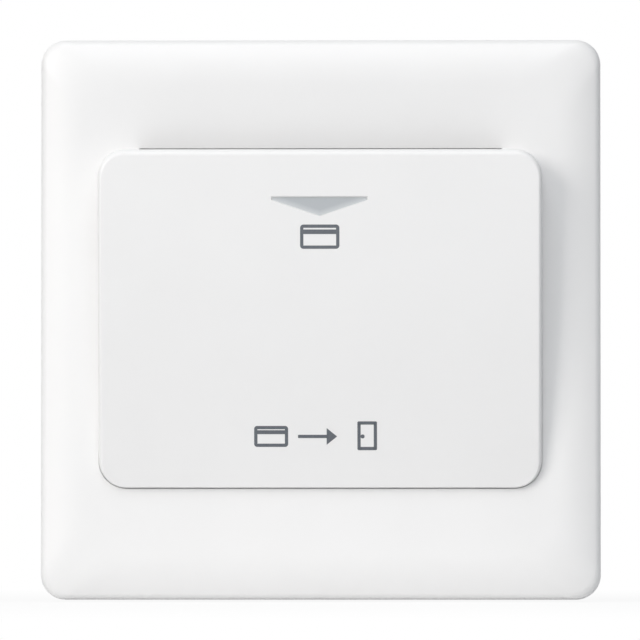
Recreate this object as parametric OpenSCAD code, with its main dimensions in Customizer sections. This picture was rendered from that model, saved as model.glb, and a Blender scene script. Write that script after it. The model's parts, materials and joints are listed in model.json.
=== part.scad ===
// Hotel key card switch on a square wall plate. A card dropped behind the curved cover
// swings a sprung lever, which closes a contact in the housing behind the plate.
// The front faces -Y, +Z is up and the wall is the plane y = 0.

/* [Face plate] */
// Width of the plate
plate_w = 86; // [82:0.5:94]
// Height of the plate
plate_h = 86; // [82:0.5:94]
// Distance from the wall to the flat front
plate_d = 8.5; // [7.6:0.1:10]
// Wall thickness of the plate
plate_wall = 2; // [1.7:0.1:2.3]
// Corner radius of the plate's outline
plate_corner_r = 3.8; // [2:0.1:6]
// Corner radius where the slope meets the flat front
plate_flat_r = 7; // [4:0.5:10]
// Width of the sloping border
plate_slope_w = 6.8; // [5.5:0.1:8]
// Steepest angle of the sloping border
plate_slope_angle = 24; // [16:1:34]
// Radius of the roll at the outer edge
plate_roll_r = 1.6; // [0.8:0.1:2.2]
// Width of the pry notch in the lower rim
notch_w = 8; // [5:0.5:12]
// Depth of the pry notch
notch_d = 1.6; // [1:0.1:2.2]

/* [Card cover] */
// Width of the cover
cover_w = 67.9; // [65:0.1:74]
// Height of the cover
cover_h = 51.7; // [48:0.1:56]
// Corner radius of the cover
cover_r = 4.2; // [3:0.1:6]
// How far the cover's top edge stands in front of the plate
cover_top = 6.5; // [6:0.1:8]
// How far the cover's bottom edge stands in front of the plate
cover_foot = 0.8; // [0.6:0.1:1.2]
// Wall thickness of the cover
cover_wall = 2; // [1.7:0.1:2.3]
// Edge rounding of the cover
cover_fillet = 1; // [0.6:0.1:1.4]
// How deep the cover sits in the plate
seat_depth = 0.6; // [0.4:0.1:0.9]
// Gap round the seated cover
seat_gap = 0.15; // [0.1:0.05:0.4]

/* [Card pocket] */
// Width of the card that goes in
card_w = 54; // [52:0.5:57]
// Gap beside the card on each side
card_side_gap = 0.8; // [0.5:0.1:1.2]
// Gap between the cover's ribs and the guide, in which the card slides
card_slide_gap = 1.6; // [1.3:0.1:2]
// Height of the pocket floor above the cover's bottom edge
floor_up = 4.5; // [4:0.1:6]
// How far the window in the plate shows above the cover
mouth_gap = 0.4; // [0.3:0.05:0.6]
// Thickness of the pocket's side walls
pocket_wall = 1.4; // [1.1:0.1:1.6]
// Distance of the card ribs from the middle
rib_x = 9; // [8:0.5:12]
// Thickness of the card ribs
rib_t = 1.4; // [1:0.1:1.8]
// Height of the ribs' upper end above the lever's nose
rib_rise = 6; // [4:0.5:7]

/* [Arrow lens and lamp] */
// Width of the arrow
arrow_w = 14.5; // [12:0.5:17]
// Height of the arrow
arrow_h = 2.8; // [2.4:0.1:3.6]
// Height of the arrow's blunt ends
arrow_end = 0.4; // [0.3:0.05:0.7]
// Distance from the cover's top edge down to the arrow
arrow_down = 7.4; // [5.5:0.1:8.5]
// How far the lens sits below the cover's face
lens_recess = 0.35; // [0.2:0.05:0.6]
// Width of the chamfer round the arrow
arrow_rim = 0.25; // [0.1:0.05:0.4]
// Thickness of the flanges on the lens and the lamp window
flange_t = 0.8; // [0.6:0.1:1.1]
// Rim of those flanges round their openings
flange_rim = 1.5; // [1:0.1:2]
// Width of the lamp window
lamp_w = 16; // [13:0.5:18]
// Height of the lamp window
lamp_h = 4.4; // [3.8:0.1:5]
// Radius of the lamp
led_r = 1.5; // [1.2:0.1:1.8]
// Height of the lamp above its board
led_h = 4.5; // [4:0.1:5.3]
// Board width
board_w = 30; // [28:0.5:34]
// Board edge above the lamp
board_up = 6.2; // [5.6:0.1:7]
// Board edge below the lamp
board_down = 6.8; // [6:0.1:7.2]
// Board thickness
board_t = 1.6; // [1.2:0.1:2]

/* [Card guide and frame] */
// Gap between the plate's front wall and the guide
guide_gap = 1.2; // [1:0.1:1.5]
// Thickness of the guide
guide_t = 1.8; // [1.5:0.1:2.2]
// Margin of the guide beside the card slot
guide_margin = 0.4; // [0.3:0.05:0.5]
// Thickness of the steel frame
frame_t = 1.2; // [1:0.1:1.5]
// Gap between the plate's rim and the frame
frame_gap = 2; // [1.5:0.1:2.5]
// Corner radius of the frame
frame_r = 6; // [4:0.5:8]
// Height of the frame's turned-up edges
lip_h = 2.6; // [2:0.1:3.2]
// Distance between the wall box's screws
box_pitch = 60.3; // [58:0.1:63]
// Width of the slots for the box screws
slot_w = 4.2; // [3.8:0.1:4.6]
// Length of those slots
slot_len = 6.5; // [5.5:0.1:7]
// Width of the plate's clip lugs
lug_w = 8; // [6:0.5:10]
// Thickness of the lugs
lug_t = 1.8; // [1.4:0.1:2.2]
// Distance of the lugs from the middle
lug_x = 14; // [11:0.5:17]
// Distance of the lugs from the plate's inner edge
lug_in = 5; // [4.4:0.1:5.4]

/* [Lever] */
// Distance of the pivot behind the guide
pivot_back = 5; // [4.6:0.1:5.6]
// Height of the pivot above the middle
pivot_z = 2; // [1:0.1:3]
// Drop from the pivot to the nose
nose_drop = 15.3; // [14.5:0.1:16]
// How far the nose stands out of the guide at rest
nose_out = 2.9; // [2.5:0.1:3.2]
// Radius of the nose
nose_r = 1.3; // [1:0.1:1.5]
// Width of the nose
nose_w = 11; // [9:0.5:12]
// Radius of the lever's hub
hub_r = 3; // [2.6:0.1:3.3]
// Radius of the lever's arms
arm_r = 1.6; // [1.3:0.1:1.8]
// Radius of the pin
pin_r = 1; // [0.8:0.05:1.2]
// Thickness of the ears that hold the pin
ear_t = 2.2; // [1.8:0.1:2.6]
// Full swing of the lever in degrees
lever_swing = 12; // [10:0.5:13]
// Wire diameter of the torsion spring
coil_wire = 0.5; // [0.4:0.05:0.6]
// Turns of the torsion spring
coil_turns = 4; // [3:1:4]

/* [Switch] */
// Drop from the lever's pivot to the plunger
plunger_drop = 7; // [6.5:0.1:7.5]
// Radius of the plunger
plunger_r = 1.5; // [1.2:0.1:1.7]
// How far the plunger stands out of the case
plunger_out = 2.2; // [2.1:0.05:2.5]
// Distance from the blade's pivot to the plunger
blade_reach = 9; // [8.5:0.1:10]
// Distance from the blade's pivot to the contact
blade_arm = 18; // [17:0.1:19]
// Width of the blade
blade_w = 4; // [3.4:0.1:4.4]
// Thickness of the blade and the terminals
strip_t = 0.8; // [0.6:0.05:1]
// Radius of the contact buttons
button_r = 1.5; // [1.2:0.1:1.8]
// Height of the contact buttons
button_h = 0.8; // [0.6:0.05:1]
// Width of the case
case_w = 10.3; // [9.8:0.1:11.5]
// Wall thickness of the case
case_wall = 1.5; // [1.2:0.1:1.7]
// Turns of the contact spring
spring_turns = 5; // [4:1:5]

/* [Terminals and housing] */
// Distance between the two terminal clamps
clamp_pitch = 32; // [31:0.5:35]
// Side of a clamp block
clamp_w = 8; // [7:0.1:8.4]
// Length of a clamp block
clamp_l = 12.6; // [12:0.1:14]
// Radius of the wire bore
wire_r = 1.75; // [1.5:0.05:2]
// Wall thickness of the housing
housing_wall = 1.8; // [1.5:0.1:2.2]
// Corner radius of the housing
housing_r = 2; // [1:0.1:2.2]
// Width of the housing's vent slots
vent_w = 1.6; // [1.2:0.1:2]
// Depth of the blank label field on the housing
label_d = 0.4; // [0.2:0.05:0.6]
// Thickness of the housing's screw ears
flange_ear_t = 2.4; // [2:0.1:3]
// Distance of the assembly screws from the middle
asm_x = 16; // [14:0.5:18]

/* [Screws and clearances] */
// Shank radius of the small screws
screw_r = 1; // [0.8:0.05:1.1]
// Head radius of the small screws
screw_head_r = 1.8; // [1.6:0.05:1.9]
// Shank radius of the assembly and switch screws
bolt_r = 1.3; // [1.1:0.05:1.5]
// Head radius of the assembly and switch screws
bolt_head_r = 2.5; // [2.2:0.1:2.8]
// Clearance of fixed pieces in their seats
fit = 0.1; // [0.05:0.01:0.15]
// Clearance of pieces that run or slide
run = 0.05; // [0.03:0.01:0.08]
// Gap between pieces that only come to bear when they move
rest_gap = 0.12; // [0.1:0.01:0.16]
// Open space kept round pieces in the housing
room = 1; // [0.8:0.1:1.4]

/* [Hidden] */
$fn = 48;
eps = 0.01;
corner_n = 8;
side_n = 14;
big_fn = 720;

// Levels along Y, from the front to the back
plate_front = -plate_d;
plate_back = plate_front + plate_wall;
guide_face = plate_back + guide_gap;
guide_back = guide_face + guide_t;
frame_front = -frame_t;

// Face plate profile: a gentle arc that rolls over at the rim
slope_arc_r = (plate_slope_w - plate_roll_r * (1 - sin(plate_slope_angle))) / sin(plate_slope_angle);
slope_drop = slope_arc_r * (1 - cos(plate_slope_angle));
edge_d = plate_d - slope_drop - plate_roll_r * cos(plate_slope_angle);
slope_n = 6;
roll_n = 5;
plate_profile = concat(
    [[0, 0]],
    [for (i = [0:roll_n]) let (a = 90 - (90 - plate_slope_angle) * i / roll_n)
        [plate_roll_r * (1 - sin(a)), -edge_d - plate_roll_r * cos(a)]],
    [for (i = [1:slope_n]) let (a = plate_slope_angle * (1 - i / slope_n))
        [plate_slope_w - slope_arc_r * sin(a), plate_front + slope_arc_r * (1 - cos(a))]]);
plate_cavity = [[plate_wall, 1], [plate_wall, -edge_d], [plate_slope_w + plate_wall / 2, plate_back]];
lug_z = plate_h / 2 - plate_wall - lug_in;

// Card cover: its front is an arc about a level axis, upright at the top edge
cover_top_z = cover_h / 2;
cover_rise = cover_top - cover_foot;
cover_arc_r = (pow(cover_h, 2) + pow(cover_rise, 2)) / (2 * cover_rise);
cover_axis_y = plate_front - cover_top + cover_arc_r;
cover_base = plate_front + seat_depth;
fillet_n = 4;
pocket_w = card_w + 2 * card_side_gap;
floor_z = -cover_h / 2 + floor_up;
mouth_z = cover_top_z + mouth_gap;
cell_in = pocket_w / 2 + pocket_wall;
cell_out = cover_w / 2 - cover_wall;
boss_x = (cell_in + cell_out) / 2;
boss_r = screw_r + 1.2;
boss_down = 9;
boss_up = 16;
boss_zs = [cover_h / 2 - boss_down, -cover_h / 2 + boss_up];
cover_bite = 2.6;
screw_head_h = 1.3;
bolt_head_h = 1.7;

// Lamp
arrow_top = cover_top_z - arrow_down;
arrow_mid = arrow_top - arrow_h / 2;
arrow_tip = 0.2;
led_z = arrow_mid;
led_gap = 0.2;
board_front = guide_back + flange_t + led_gap + led_h;
board_back = board_front + board_t;
board_top = led_z + board_up;
board_bottom = led_z - board_down;
post_r = screw_r + 1.3;
post_x = board_w / 2 - post_r - 0.4;
post_z = board_top - post_r - 0.4;
board_r = 1;
part_x = 6.2;
part_step = 3.2;
diode_down = 4.9;
part_feet = 8.4;
part_wire_r = 0.3;
resistor_r = 1.1;
resistor_l = 6.2;
diode_r = 1.2;
diode_l = 5;
cap_side = 8.4;
cap_h = 8;
cap_x = -5.8;

// Lever, with its points given as [y, z]
pivot = [guide_back + pivot_back, pivot_z];
nose = [guide_face - nose_out + nose_r, pivot_z - nose_drop];
shoulder_drop = 8;
shoulder = [guide_back + arm_r + 1.3, pivot_z - shoulder_drop];
heel = [shoulder[0], nose[1] - 3.3];
stop_r = 1.2;
stop_at = [guide_back + rest_gap + stop_r, heel[1]];
stop_w = nose_w + 5;
pad_y = pivot[0] + 1.5;
pad_top = pivot_z - plunger_drop + 2.4;
pad_bottom = pivot_z - plunger_drop - 2.5;
slot_top = pivot_z - shoulder_drop;
slot_bottom = heel[1] - arm_r + 0.4;
slot_side = 0.6;
ear_in = 8.2;
hub_x = [-ear_in + 0.3, 2.4];
coil_r = pin_r + 0.6 + coil_wire / 2;
coil_pitch = coil_wire + 0.45;
coil_x = hub_x[1] + 0.3 + coil_wire / 2;

// Switch
plunger_z = pivot_z - plunger_drop;
plunger_tip = pad_y + rest_gap;
case_front = plunger_tip + plunger_out;
blade_y = case_front + case_wall + 4.2;
blade_t = 0.5;
blade_pivot = [blade_y, plunger_z + blade_reach];
contact_z = blade_pivot[1] - blade_arm;
plunger_travel = plunger_drop * tan(lever_swing) + (pad_y - pivot[0] + plunger_r) * (1 / cos(lever_swing) - 1);
blade_swing = atan((plunger_travel + 0.02) / blade_reach);
button_reach = (blade_t / 2 + button_h) * cos(blade_swing) + (blade_arm + button_r) * sin(blade_swing);
open_face = blade_y + button_reach + rest_gap;
open_strip = open_face + button_h;
closed_face = blade_y - blade_t / 2 - button_h - rest_gap;
closed_strip = closed_face - button_h - strip_t;
case_back = open_strip + strip_t + 1.5 + case_wall;
case_top = blade_pivot[1] + 3;
case_bottom = contact_z - 3.6;
case_lug = 2 * bolt_head_r;
case_lug_t = 3;
case_lug_zs = [case_top + case_lug / 2, case_bottom - case_lug / 2];
case_x = [-case_w / 2, case_w / 2 - case_wall];
strip_w = 4;
strip_gap = 0.3;
strip_end = 0.5;
blade_pin_r = 0.7;
spring_r = 1.55;
spring_wire = 0.45;

// Housing and terminals
boss_h = 2.5;
rear_in = case_back + boss_h;
rear_out = rear_in + housing_wall;
clamp_x = clamp_pitch / 2;
clamp_play = 0.7;
clamp_front = open_strip - 2.4;
clamp_back = clamp_front + clamp_w;
housing_x = clamp_x + clamp_w / 2 + clamp_play + housing_wall;
housing_in_top = board_top + room;
housing_in_bottom = case_lug_zs[1] - case_lug / 2 - room;
housing_top = housing_in_top + housing_wall;
housing_bottom = housing_in_bottom - housing_wall;
vent_step = 4;
vent_y = [6, 17];
label_w = 28;
label_z = [-6, 18];
clamp_bottom = housing_bottom + 4.6;
clamp_top = clamp_bottom + clamp_l;
well_top = clamp_top - 0.8;
wire_y = clamp_front + wire_r + 1;
clamp_screw_z = (clamp_bottom + clamp_top) / 2;
clamp_screw_r = 1.5;
clamp_head_r = 2.7;
clamp_head_h = 2;
asm_ear_r = bolt_head_r + 0.8;
asm_zs = [housing_top + asm_ear_r, housing_bottom - asm_ear_r];
asm_tip = guide_face + 0.7;
guide_w = pocket_w + 2 * guide_margin;
driver_r = slot_len / 2 + 1.2;
leg_r = bolt_r + 1.7;
guide_top = asm_zs[0] + leg_r;
guide_bottom = asm_zs[1] - leg_r;
frame_w = plate_w - 2 * (plate_wall + frame_gap);
frame_h = plate_h - 2 * (plate_wall + frame_gap);

// Lamp leads: routes from the terminals to the board, clear of the lever
lead_r = 0.6;
lead_x = 13;
lead_z = board_bottom + 2;
closed_lead = [[-case_w / 2 - 1.8, closed_strip - 0.7, contact_z + 1], [-9, closed_strip - 1.6, contact_z + 5],
    [-lead_x, 7.5, -3], [-lead_x, 6.6, 4], [-lead_x, board_back + 3, lead_z - 2.4],
    [-lead_x, board_back + 1.6, lead_z], [-lead_x, board_back, lead_z]];
open_lead = [[case_w / 2 + 1.8, open_strip - 0.7, contact_z + 1], [7.6, open_strip - 2.6, contact_z + 5],
    [lead_x, 9.5, -1], [lead_x, 7.6, 4], [lead_x, board_back + 3, lead_z - 2.4],
    [lead_x, board_back + 1.6, lead_z], [lead_x, board_back, lead_z]];

// Right half of a rounded rectangle, from the bottom to the top
function half_ring(w, h, r) = concat(
    [for (i = [0:corner_n]) let (a = -90 + 90 * i / corner_n)
        [w / 2 - r + r * cos(a), -h / 2 + r + r * sin(a)]],
    [for (i = [1:side_n - 1]) [w / 2, -h / 2 + r + (h - 2 * r) * i / side_n]],
    [for (i = [0:corner_n]) let (a = 90 * i / corner_n)
        [w / 2 - r + r * cos(a), h / 2 - r + r * sin(a)]]);

// The whole outline, closed with the mirrored left half
function full_ring(half) = concat(half,
    [for (i = [len(half) - 1:-1:0]) [-half[i][0], half[i][1]]]);

function plate_ring(inset, y) =
    let (r = plate_corner_r + (plate_flat_r - plate_corner_r) * inset / plate_slope_w)
    [for (p = full_ring(half_ring(plate_w - 2 * inset, plate_h - 2 * inset, r))) [p[0], y, p[1]]];

// Front of the cover at a height, and its rounding there, which the low foot limits
function cover_y(z) = cover_axis_y - sqrt(pow(cover_arc_r, 2) - pow(cover_top_z - z, 2));
function cover_round(z) = min(cover_fillet, 0.8 * (plate_front - cover_y(z)));

function cover_ring(a) =
    let (inset = cover_fillet * (1 - cos(a)))
    [for (p = full_ring(half_ring(cover_w - 2 * inset, cover_h - 2 * inset, cover_r - inset)))
        [p[0], cover_y(p[1]) + cover_round(p[1]) * (1 - sin(a)), p[1]]];

cover_foot_ring = [for (p = full_ring(half_ring(cover_w, cover_h, cover_r))) [p[0], cover_base, p[1]]];

// Points of the arrow, drawn in by c
function arrow_points(c) = full_ring([[arrow_tip / 2, arrow_top - arrow_h + c],
    [arrow_w / 2 - c, arrow_top - arrow_end], [arrow_w / 2 - c, arrow_top - c]]);

// Torsion spring: a leg on the lever's pad, the turns, and a leg on the guide
coil_end = 360 * coil_turns + 60;
function coil_at(a) = [coil_x + coil_pitch * a / 360, pivot[0] + coil_r * cos(a), pivot[1] + coil_r * sin(a)];
coil_leg = (coil_at(coil_end)[1] - guide_back - coil_wire / 2 - rest_gap) / sin(coil_end);
torsion_path = concat(
    [[coil_x, pivot[0] + coil_r, pad_bottom + 1]],
    [for (i = [0:8 * coil_end / 360]) coil_at(45 * i)],
    [coil_at(coil_end)],
    [coil_at(coil_end) + coil_leg * [0, -sin(coil_end), cos(coil_end)]]);

// Compression spring between the blade and the back of the case
spring_from = blade_y + blade_t / 2 + rest_gap + spring_wire / 2;
spring_to = case_back - case_wall - fit - spring_wire / 2;
compression_path = [for (i = [0:8 * spring_turns])
    [spring_r * cos(45 * i), spring_from + (spring_to - spring_from) * i / (8 * spring_turns),
        plunger_z + spring_r * sin(45 * i)]];

// Least gap of a coiled wire to itself, over points at least three quarters of a turn apart
function self_gap(path, wire) =
    min([for (i = [0:len(path) - 1]) for (j = [i + 6:1:len(path) - 1]) norm(path[i] - path[j])]) - wire;
echo(lever_spring_gap = self_gap(torsion_path, coil_wire));
echo(contact_spring_gap = self_gap(compression_path, spring_wire));
echo(plunger_travel = plunger_travel, blade_swing = blade_swing, rear = rear_out);

// Skin through a list of rings that are alike left and right
module loft(rings) {
    n = len(rings[0]);
    last = (len(rings) - 1) * n;
    polyhedron(
        points = [for (ring = rings) each ring],
        faces = concat(
            [for (k = [0:n:last - n]) for (i = [0:n - 1]) [k + i, k + n + i, k + n + (i + 1) % n]],
            [for (k = [0:n:last - n]) for (i = [0:n - 1]) [k + i, k + n + (i + 1) % n, k + (i + 1) % n]],
            [for (j = [0:n / 2 - 2]) [j, j + 1, n - 2 - j, n - 1 - j]],
            [for (j = [0:n / 2 - 2]) [last + j, last + n - 1 - j, last + n - 2 - j, last + j + 1]]));
}

// Tube of a few sides along a path, whose sides are set out from an axis it never follows
module tube(path, r, axis, sides = 6) {
    last = len(path) - 1;
    function along(i) = let (d = path[min(i + 1, last)] - path[max(i - 1, 0)]) d / norm(d);
    function across(i) = let (c = cross(along(i), axis)) c / norm(c);
    rings = [for (i = [0:last]) let (u = across(i), v = cross(u, along(i)))
        for (s = [0:sides - 1]) path[i] + r * (cos(360 * s / sides) * u + sin(360 * s / sides) * v)];
    polyhedron(points = rings, faces = concat(
        [[for (s = [0:sides - 1]) s]],
        [for (i = [0:last - 1]) for (s = [0:sides - 1]) let (a = i * sides, t = (s + 1) % sides)
            [a + s, a + sides + s, a + sides + t]],
        [for (i = [0:last - 1]) for (s = [0:sides - 1]) let (a = i * sides, t = (s + 1) % sides)
            [a + s, a + sides + t, a + t]],
        [[for (s = [sides - 1:-1:0]) last * sides + s]]));
}

// Extrudes an outline drawn in X and Z between two levels along Y
module slab(y0, y1) {
    translate([0, y1, 0]) rotate([90, 0, 0]) linear_extrude(y1 - y0) children();
}

// Extrudes an outline drawn in Y and Z between two places along X
module bar(x0, x1) {
    translate([x0, 0, 0]) rotate([90, 0, 90]) linear_extrude(x1 - x0) children();
}

module block(low, high) {
    translate(low) cube(high - low);
}

module rod_x(x0, x1, at, r) {
    translate([x0, at[0], at[1]]) rotate([0, 90, 0]) cylinder(h = x1 - x0, r = r);
}

module rod_y(y0, y1, at, r) {
    translate([at[0], y0, at[1]]) rotate([-90, 0, 0]) cylinder(h = y1 - y0, r = r);
}

module oblong(l, w) {
    square([l - w, w], center = true);
    for (s = [-1, 1]) translate([s * (l - w) / 2, 0]) circle(w / 2);
}

module rounded(w, h, r) {
    square([w - 2 * r, h], center = true);
    square([w, h - 2 * r], center = true);
    for (x = [-1, 1]) for (z = [-1, 1]) translate([x * (w / 2 - r), z * (h / 2 - r)]) circle(r);
}

// Two circles joined by their outer tangents
module link(p, rp, q, rq) {
    a = atan2(q[1] - p[1], q[0] - p[0]);
    b = acos((rp - rq) / norm(q - p));
    translate(p) circle(rp);
    translate(q) circle(rq);
    polygon([for (s = [[p, rp, b], [q, rq, b], [q, rq, -b], [p, rp, -b]])
        s[0] + s[1] * [cos(a + s[2]), sin(a + s[2])]]);
}

// Pan-head screw from its head's seat towards the tip, pointing to -Y
module screw(at, seat, tip, r, head_r, head_h) {
    recess = head_h * 0.6;
    difference() {
        union() {
            rod_y(tip, seat + eps, at, r);
            rod_y(seat, seat + head_h, at, head_r);
        }
        for (turn = [0, 90]) translate([at[0], seat + head_h, at[1]]) rotate([0, turn, 0])
            block([-head_r * 0.6, -recess, -head_r * 0.13], [head_r * 0.6, 1, head_r * 0.13]);
    }
}

// Space behind the cover's front at a depth below its face
module behind_face(depth) {
    rod_x(-cover_w, cover_w, [cover_axis_y, cover_top_z], cover_arc_r - depth, $fn = big_fn);
}

module at_cover_screws() {
    for (x = [-boss_x, boss_x]) for (z = boss_zs) translate([x, 0, z]) children();
}

module at_assembly_screws() {
    for (x = [-asm_x, asm_x]) for (z = asm_zs) translate([x, 0, z]) children();
}

module at_lugs(grow) {
    for (x = [-lug_x, lug_x]) for (z = [-lug_z, lug_z])
        translate([x, z]) square([lug_w + 2 * grow, lug_t + 2 * grow], center = true);
}

module face_plate() {
    color("white") difference() {
        union() {
            difference() {
                loft([for (p = plate_profile) plate_ring(p[0], p[1])]);
                loft([for (p = plate_cavity) plate_ring(p[0], p[1])]);
            }
            slab(plate_back - plate_wall / 2, -rest_gap) at_lugs(0);
        }
        slab(plate_front - 1, cover_base)
            rounded(cover_w + 2 * seat_gap, cover_h + 2 * seat_gap, cover_r + seat_gap);
        block([-pocket_w / 2, plate_front - 1, floor_z], [pocket_w / 2, plate_back + 1, mouth_z]);
        at_cover_screws() rod_y(plate_front - 1, plate_back + 1, [0, 0], screw_r + fit);
        block([-notch_w / 2, -notch_d, -plate_h], [notch_w / 2, 1, -plate_h / 2 + plate_wall + 1]);
    }
}

// Chamfered mouth of the arrow's opening
module arrow_mouth() {
    face = cover_y(arrow_mid);
    rim = arrow_rim * (lens_recess + 1) / lens_recess;
    loft([for (s = [[face + lens_recess, 0], [face - 1, -rim]])
        [for (p = arrow_points(s[1])) [p[0], s[0], p[1]]]]);
}

// Hollow of the cover between two places along X
module cover_hollow(x0, x1, top) {
    intersection() {
        block([x0, plate_front - cover_top, floor_z], [x1, cover_base + 1, top]);
        behind_face(cover_wall);
    }
}

module card_rib(x) {
    rib_y = guide_face - card_slide_gap;
    rib_top = nose[1] + rib_rise;
    low = floor_z + rest_gap;
    front = plate_front - cover_top;
    intersection() {
        bar(x - rib_t / 2, x + rib_t / 2)
            polygon([[front, low], [rib_y, low], [rib_y, rib_top - (rib_y - plate_front) - 2],
                [plate_front - 2, rib_top], [front, rib_top]]);
        behind_face(cover_wall / 2);
    }
}

module card_cover() {
    color("white") difference() {
        union() {
            difference() {
                loft(concat([cover_foot_ring], [for (i = [0:fillet_n]) cover_ring(90 * i / fillet_n)]));
                cover_hollow(-pocket_w / 2, pocket_w / 2, cover_top_z + 1);
                cover_hollow(cell_in, cell_out, cover_top_z - cover_wall);
                cover_hollow(-cell_out, -cell_in, cover_top_z - cover_wall);
            }
            for (x = [-boss_x, boss_x]) for (z = boss_zs)
                rod_y(cover_y(z) + cover_wall / 2, cover_base, [x, z], boss_r);
            for (x = [-rib_x, rib_x]) card_rib(x);
        }
        at_cover_screws() rod_y(plate_front - cover_bite - fit, cover_base + 1, [0, 0], screw_r + run);
        slab(plate_front - 2 * cover_top, plate_front) polygon(arrow_points(0));
        arrow_mouth();
    }
}

module arrow_lens() {
    color([0.78, 0.81, 0.82]) difference() {
        union() {
            intersection() {
                slab(plate_front - 2 * cover_top, plate_front) polygon(arrow_points(fit));
                behind_face(lens_recess);
            }
            intersection() {
                slab(plate_front - 2 * cover_top, plate_front) translate([0, arrow_mid])
                    square([arrow_w + 2 * flange_rim, arrow_h + 2 * flange_rim], center = true);
                behind_face(cover_wall + eps);
            }
        }
        behind_face(cover_wall + flange_t);
    }
}

module cover_screws() {
    color("silver") at_cover_screws()
        screw([0, 0], plate_back, plate_front - cover_bite, screw_r, screw_head_r, screw_head_h);
}

module mounting_frame() {
    lip_run = frame_w - 2 * frame_r;
    lip_rise = frame_h - 2 * frame_r;
    color("lightgrey") difference() {
        union() {
            slab(frame_front, 0) rounded(frame_w, frame_h, frame_r);
            for (s = [-1, 1]) {
                slab(frame_front - lip_h, 0) translate([0, s * (frame_h - frame_t) / 2])
                    square([lip_run, frame_t], center = true);
                slab(frame_front - lip_h, 0) translate([s * (frame_w - frame_t) / 2, 0])
                    square([frame_t, lip_rise], center = true);
            }
        }
        block([-housing_x + housing_wall, -frame_t - lip_h, housing_in_bottom],
            [housing_x - housing_wall, 1, housing_in_top]);
        for (s = [-1, 1]) slab(-2 * frame_t, 1) translate([s * box_pitch / 2, 0])
            oblong(slot_len, slot_w);
        at_assembly_screws() rod_y(-2 * frame_t, 1, [0, 0], bolt_r + fit);
        slab(-2 * frame_t, 1) at_lugs(0.25);
    }
}

module card_guide() {
    color("whitesmoke") difference() {
        union() {
            slab(guide_face, guide_back) translate([0, (guide_top + guide_bottom) / 2])
                rounded(guide_w, guide_top - guide_bottom, leg_r);
            block([-pocket_w / 2, plate_back + rest_gap, floor_z - guide_t],
                [pocket_w / 2, guide_face + eps, floor_z]);
            at_assembly_screws() rod_y(guide_face, frame_front, [0, 0], leg_r);
            for (x = [-post_x, post_x]) rod_y(guide_face, board_front, [x, post_z], post_r);
            for (x = [-ear_in - ear_t, ear_in]) bar(x, x + ear_t) {
                translate(pivot) circle(hub_r);
                translate([guide_back - eps, pivot_z - hub_r]) square([pivot_back, 2 * hub_r]);
            }
        }
        block([-nose_w / 2 - slot_side, guide_face - 1, slot_bottom],
            [nose_w / 2 + slot_side, guide_back + 1, slot_top]);
        for (s = [-1, 1]) rod_y(guide_face - 1, guide_back + 1, [s * box_pitch / 2, 0], driver_r);
        slab(guide_face - 1, guide_back + 1) translate([0, led_z]) square([lamp_w, lamp_h], center = true);
        at_assembly_screws() rod_y(asm_tip - fit, 1, [0, 0], bolt_r + run);
        for (x = [-post_x, post_x]) rod_y(guide_back + 1, board_front + 1, [x, post_z], screw_r + run);
        rod_x(-ear_in - 2 * ear_t, ear_in + 2 * ear_t, pivot, pin_r + run / 2);
    }
}

module lamp_window() {
    color([0.9, 0.93, 0.95, 0.6]) translate([0, 0, led_z]) {
        slab(guide_face, guide_back + eps) square([lamp_w - 2 * fit, lamp_h - 2 * fit], center = true);
        slab(guide_back, guide_back + flange_t)
            square([lamp_w + 2 * flange_rim, lamp_h + 2 * flange_rim], center = true);
    }
}

module assembly_screws() {
    color("silver") at_assembly_screws()
        screw([0, 0], flange_ear_t, asm_tip, bolt_r, bolt_head_r, bolt_head_h);
}

module card_lever() {
    color("gainsboro") difference() {
        union() {
            rod_x(hub_x[0], hub_x[1], pivot, hub_r);
            bar(-nose_w / 2, hub_x[1]) link(pivot, hub_r, shoulder, arm_r);
            bar(-nose_w / 2, nose_w / 2) {
                link(shoulder, arm_r, nose, nose_r);
                link(nose, nose_r, heel, arm_r);
                link(heel, arm_r, shoulder, arm_r);
                polygon([shoulder, nose, heel]);
            }
            bar(-plunger_r - 2, coil_x + 1.2) translate([shoulder[0], pad_bottom])
                square([pad_y - shoulder[0], pad_top - pad_bottom]);
            rod_x(-stop_w / 2, stop_w / 2, stop_at, stop_r);
        }
        rod_x(hub_x[0] - 1, hub_x[1] + 1, pivot, pin_r + run);
    }
}

module lever_pin() {
    color("silver") {
        rod_x(-ear_in - ear_t, ear_in + ear_t + eps, pivot, pin_r);
        rod_x(ear_in + ear_t, ear_in + ear_t + 0.6, pivot, pin_r + 0.6);
    }
}

module lever_spring() {
    color("dimgrey") tube(torsion_path, coil_wire / 2, [1, 0, 0]);
}

module clamp_well(s) {
    inner = clamp_x - clamp_w / 2 - clamp_play;
    outer = clamp_x + clamp_w / 2 + clamp_play;
    low = s > 0 ? inner : -outer;
    high = s > 0 ? outer : -inner;
    block([low, clamp_front - fit, housing_bottom - 1], [high, rear_out + 1, well_top - housing_wall]);
}

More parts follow.
